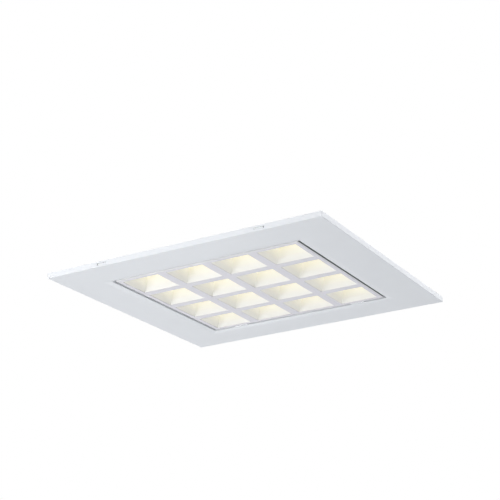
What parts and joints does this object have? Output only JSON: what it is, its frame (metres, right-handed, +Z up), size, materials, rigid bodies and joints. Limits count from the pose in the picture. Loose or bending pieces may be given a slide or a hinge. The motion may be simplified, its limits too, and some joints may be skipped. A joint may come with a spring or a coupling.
{
  "type": "recessed troffer light",
  "caption": "Square lay-in ceiling light: flat folded trim panel round a swing-down light unit with a grid of recessed reflector cells, housing pan and control gear box above.",
  "frame": {"origin": "centre of the trim panel's visible underside, which is the lowest face", "axes": "+Z up into the ceiling void, -Y the front edge with two lug slots, +Y the hinge side of the light unit, -X the supply entry side"},
  "size_m": [0.595, 0.595, 0.0849],
  "materials": {
    "white_paint": "fine satin white powder coat",
    "zinc": "bright zinc plate",
    "galvanised": "galvanised sheet with faint spangle",
    "louvre_grey": "matt pale silver grey",
    "reflector_white": "semi-gloss warm white",
    "lens_opal": "opal, lit",
    "board_white": "white solder mask",
    "chip_yellow": "phosphor, lit",
    "aluminium_plate": "mill finish",
    "bright_steel": "bright",
    "magnet_dark": "dark ferrite",
    "lug_nylon": "natural white nylon",
    "lug_nylon_grey": "grey nylon",
    "driver_white": "semi-matt white",
    "board_green": "green solder mask",
    "transformer_dark": "varnished core",
    "capacitor_black": "sleeved",
    "terminal_white": "moulded",
    "button_orange": "moulded",
    "brass": "turned",
    "rubber_black": "matt"
  },
  "bodies": {
    "fitting": {"trim_panel": "white_paint", "panel_studs": "zinc", "stud_nuts": "zinc", "housing_pan": "galvanised", "unit_hinge_brackets": "zinc", "unit_hinge_pins": "bright_steel", "catch_magnets": "magnet_dark", "lug_guides": "lug_nylon_grey", "gear_tray": "galvanised", "cover_hinge_pins": "bright_steel", "gear_screws": "zinc", "driver_case": "driver_white", "driver_lid": "driver_white", "driver_board": "board_green", "driver_transformer": "transformer_dark", "driver_capacitors": "capacitor_black", "terminal_block": "terminal_white", "earth_post": "brass", "entry_grommet": "rubber_black", "lead_bush": "rubber_black", "hanger_brackets": "zinc"},
    "light_unit": {"louvre_frame": "louvre_grey", "reflector_r1c1": "reflector_white", "reflector_r1c2": "reflector_white", "reflector_r1c3": "reflector_white", "reflector_r1c4": "reflector_white", "reflector_r2c1": "reflector_white", "reflector_r2c2": "reflector_white", "reflector_r2c3": "reflector_white", "reflector_r2c4": "reflector_white", "reflector_r3c1": "reflector_white", "reflector_r3c2": "reflector_white", "reflector_r3c3": "reflector_white", "reflector_r3c4": "reflector_white", "reflector_r4c1": "reflector_white", "reflector_r4c2": "reflector_white", "reflector_r4c3": "reflector_white", "reflector_r4c4": "reflector_white", "lens_strip_1": "lens_opal", "lens_strip_2": "lens_opal", "lens_strip_3": "lens_opal", "lens_strip_4": "lens_opal", "light_board_1": "board_white", "light_board_2": "board_white", "light_board_3": "board_white", "light_board_4": "board_white", "light_chips": "chip_yellow", "heat_spreader": "aluminium_plate", "spreader_screws": "zinc", "unit_hinge_straps": "zinc", "catch_strikes": "bright_steel"},
    "gear_lid": {"gear_cover": "galvanised"},
    "lug_front_left": {"grid_lug_front_left": "lug_nylon"},
    "lug_front_right": {"grid_lug_front_right": "lug_nylon"},
    "lug_back_left": {"grid_lug_back_left": "lug_nylon"},
    "lug_back_right": {"grid_lug_back_right": "lug_nylon"},
    "button_1": {"terminal_button_1": "button_orange"},
    "button_2": {"terminal_button_2": "button_orange"},
    "button_3": {"terminal_button_3": "button_orange"}
  },
  "joints": [
    {"name": "light_unit_drop", "type": "hinge", "parent": "fitting", "child": "light_unit", "pos_m": [0, 0.2045, 0.0037], "axis": [1, 0, 0], "range_deg": [0, 90]},
    {"name": "gear_lid_swing", "type": "hinge", "parent": "fitting", "child": "gear_lid", "pos_m": [0, 0.0711, 0.0829], "axis": [-1, 0, 0], "range_deg": [0, 110]},
    {"name": "lug_front_left_slide", "type": "slide", "parent": "fitting", "child": "lug_front_left", "axis": [0, -1, 0], "range_m": [0, 0.012]},
    {"name": "lug_front_right_slide", "type": "slide", "parent": "fitting", "child": "lug_front_right", "axis": [0, -1, 0], "range_m": [0, 0.012]},
    {"name": "lug_back_left_slide", "type": "slide", "parent": "fitting", "child": "lug_back_left", "axis": [0, 1, 0], "range_m": [0, 0.012]},
    {"name": "lug_back_right_slide", "type": "slide", "parent": "fitting", "child": "lug_back_right", "axis": [0, 1, 0], "range_m": [0, 0.012]},
    {"name": "button_1_press", "type": "slide", "parent": "fitting", "child": "button_1", "axis": [0, 0, -1], "range_m": [0, 0.0025], "stiffness_N_per_m": 600},
    {"name": "button_2_press", "type": "slide", "parent": "fitting", "child": "button_2", "axis": [0, 0, -1], "range_m": [0, 0.0025], "stiffness_N_per_m": 600},
    {"name": "button_3_press", "type": "slide", "parent": "fitting", "child": "button_3", "axis": [0, 0, -1], "range_m": [0, 0.0025], "stiffness_N_per_m": 600}
  ]
}
